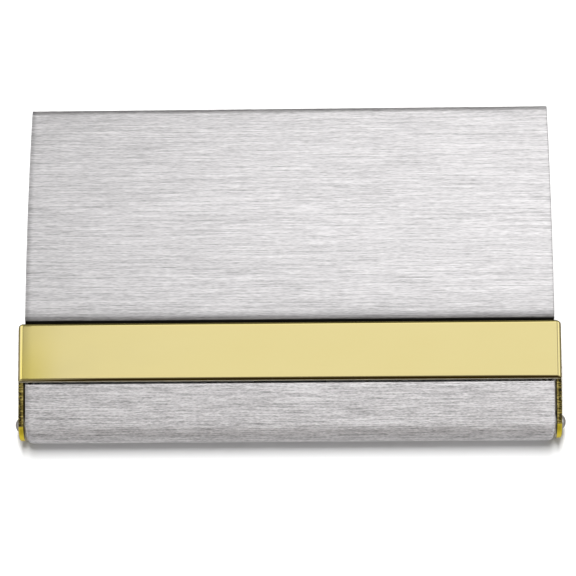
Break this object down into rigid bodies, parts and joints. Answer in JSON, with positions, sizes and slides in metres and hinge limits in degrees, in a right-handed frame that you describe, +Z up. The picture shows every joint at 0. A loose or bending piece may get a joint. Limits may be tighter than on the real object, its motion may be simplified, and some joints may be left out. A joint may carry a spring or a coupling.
{
  "type": "business card case",
  "caption": "Flat metal card case: brushed arched lid on a polished gold strap that wraps round to side rivets, over a shallow shell with a rolled front edge.",
  "frame": {"origin": "centre of the bounding box on the resting plane, under the closed case", "axes": "+X across the case to its right, +Y from the rolled hinge edge to the back edge that opens, +Z up out of the lid"},
  "size_m": [0.098, 0.061, 0.0096],
  "materials": {
    "brushed_shell": "fine brushing that runs across the case",
    "brushed_lid": "fine brushing that runs across the case",
    "polished_gold": "polished gold plating with dark sheared edges",
    "gold_studs": "satin gold plating",
    "rivet_steel": "polished",
    "bright_inner": "satin",
    "spring_steel": "dull, slightly blue"
  },
  "bodies": {
    "base": {"base_shell": "brushed_shell", "left_hinge_plate": "spring_steel", "right_hinge_plate": "spring_steel", "card_tray": "bright_inner", "card_spring": "spring_steel", "card_spring_rivets": "rivet_steel", "left_hinge_rivet": "rivet_steel", "right_hinge_rivet": "rivet_steel", "left_spacer_washer": "rivet_steel", "right_spacer_washer": "rivet_steel", "left_friction_washer": "spring_steel", "right_friction_washer": "spring_steel", "left_backing_washer": "rivet_steel", "right_backing_washer": "rivet_steel"},
    "lid": {"lid_plate": "brushed_lid", "lid_pan": "bright_inner", "hinge_strap": "polished_gold", "strap_studs": "gold_studs"}
  },
  "joints": [
    {"name": "lid_hinge", "type": "hinge", "parent": "base", "child": "lid", "pos_m": [0, -0.02725, 0.00325], "axis": [1, 0, 0], "range_deg": [0, 120]}
  ]
}
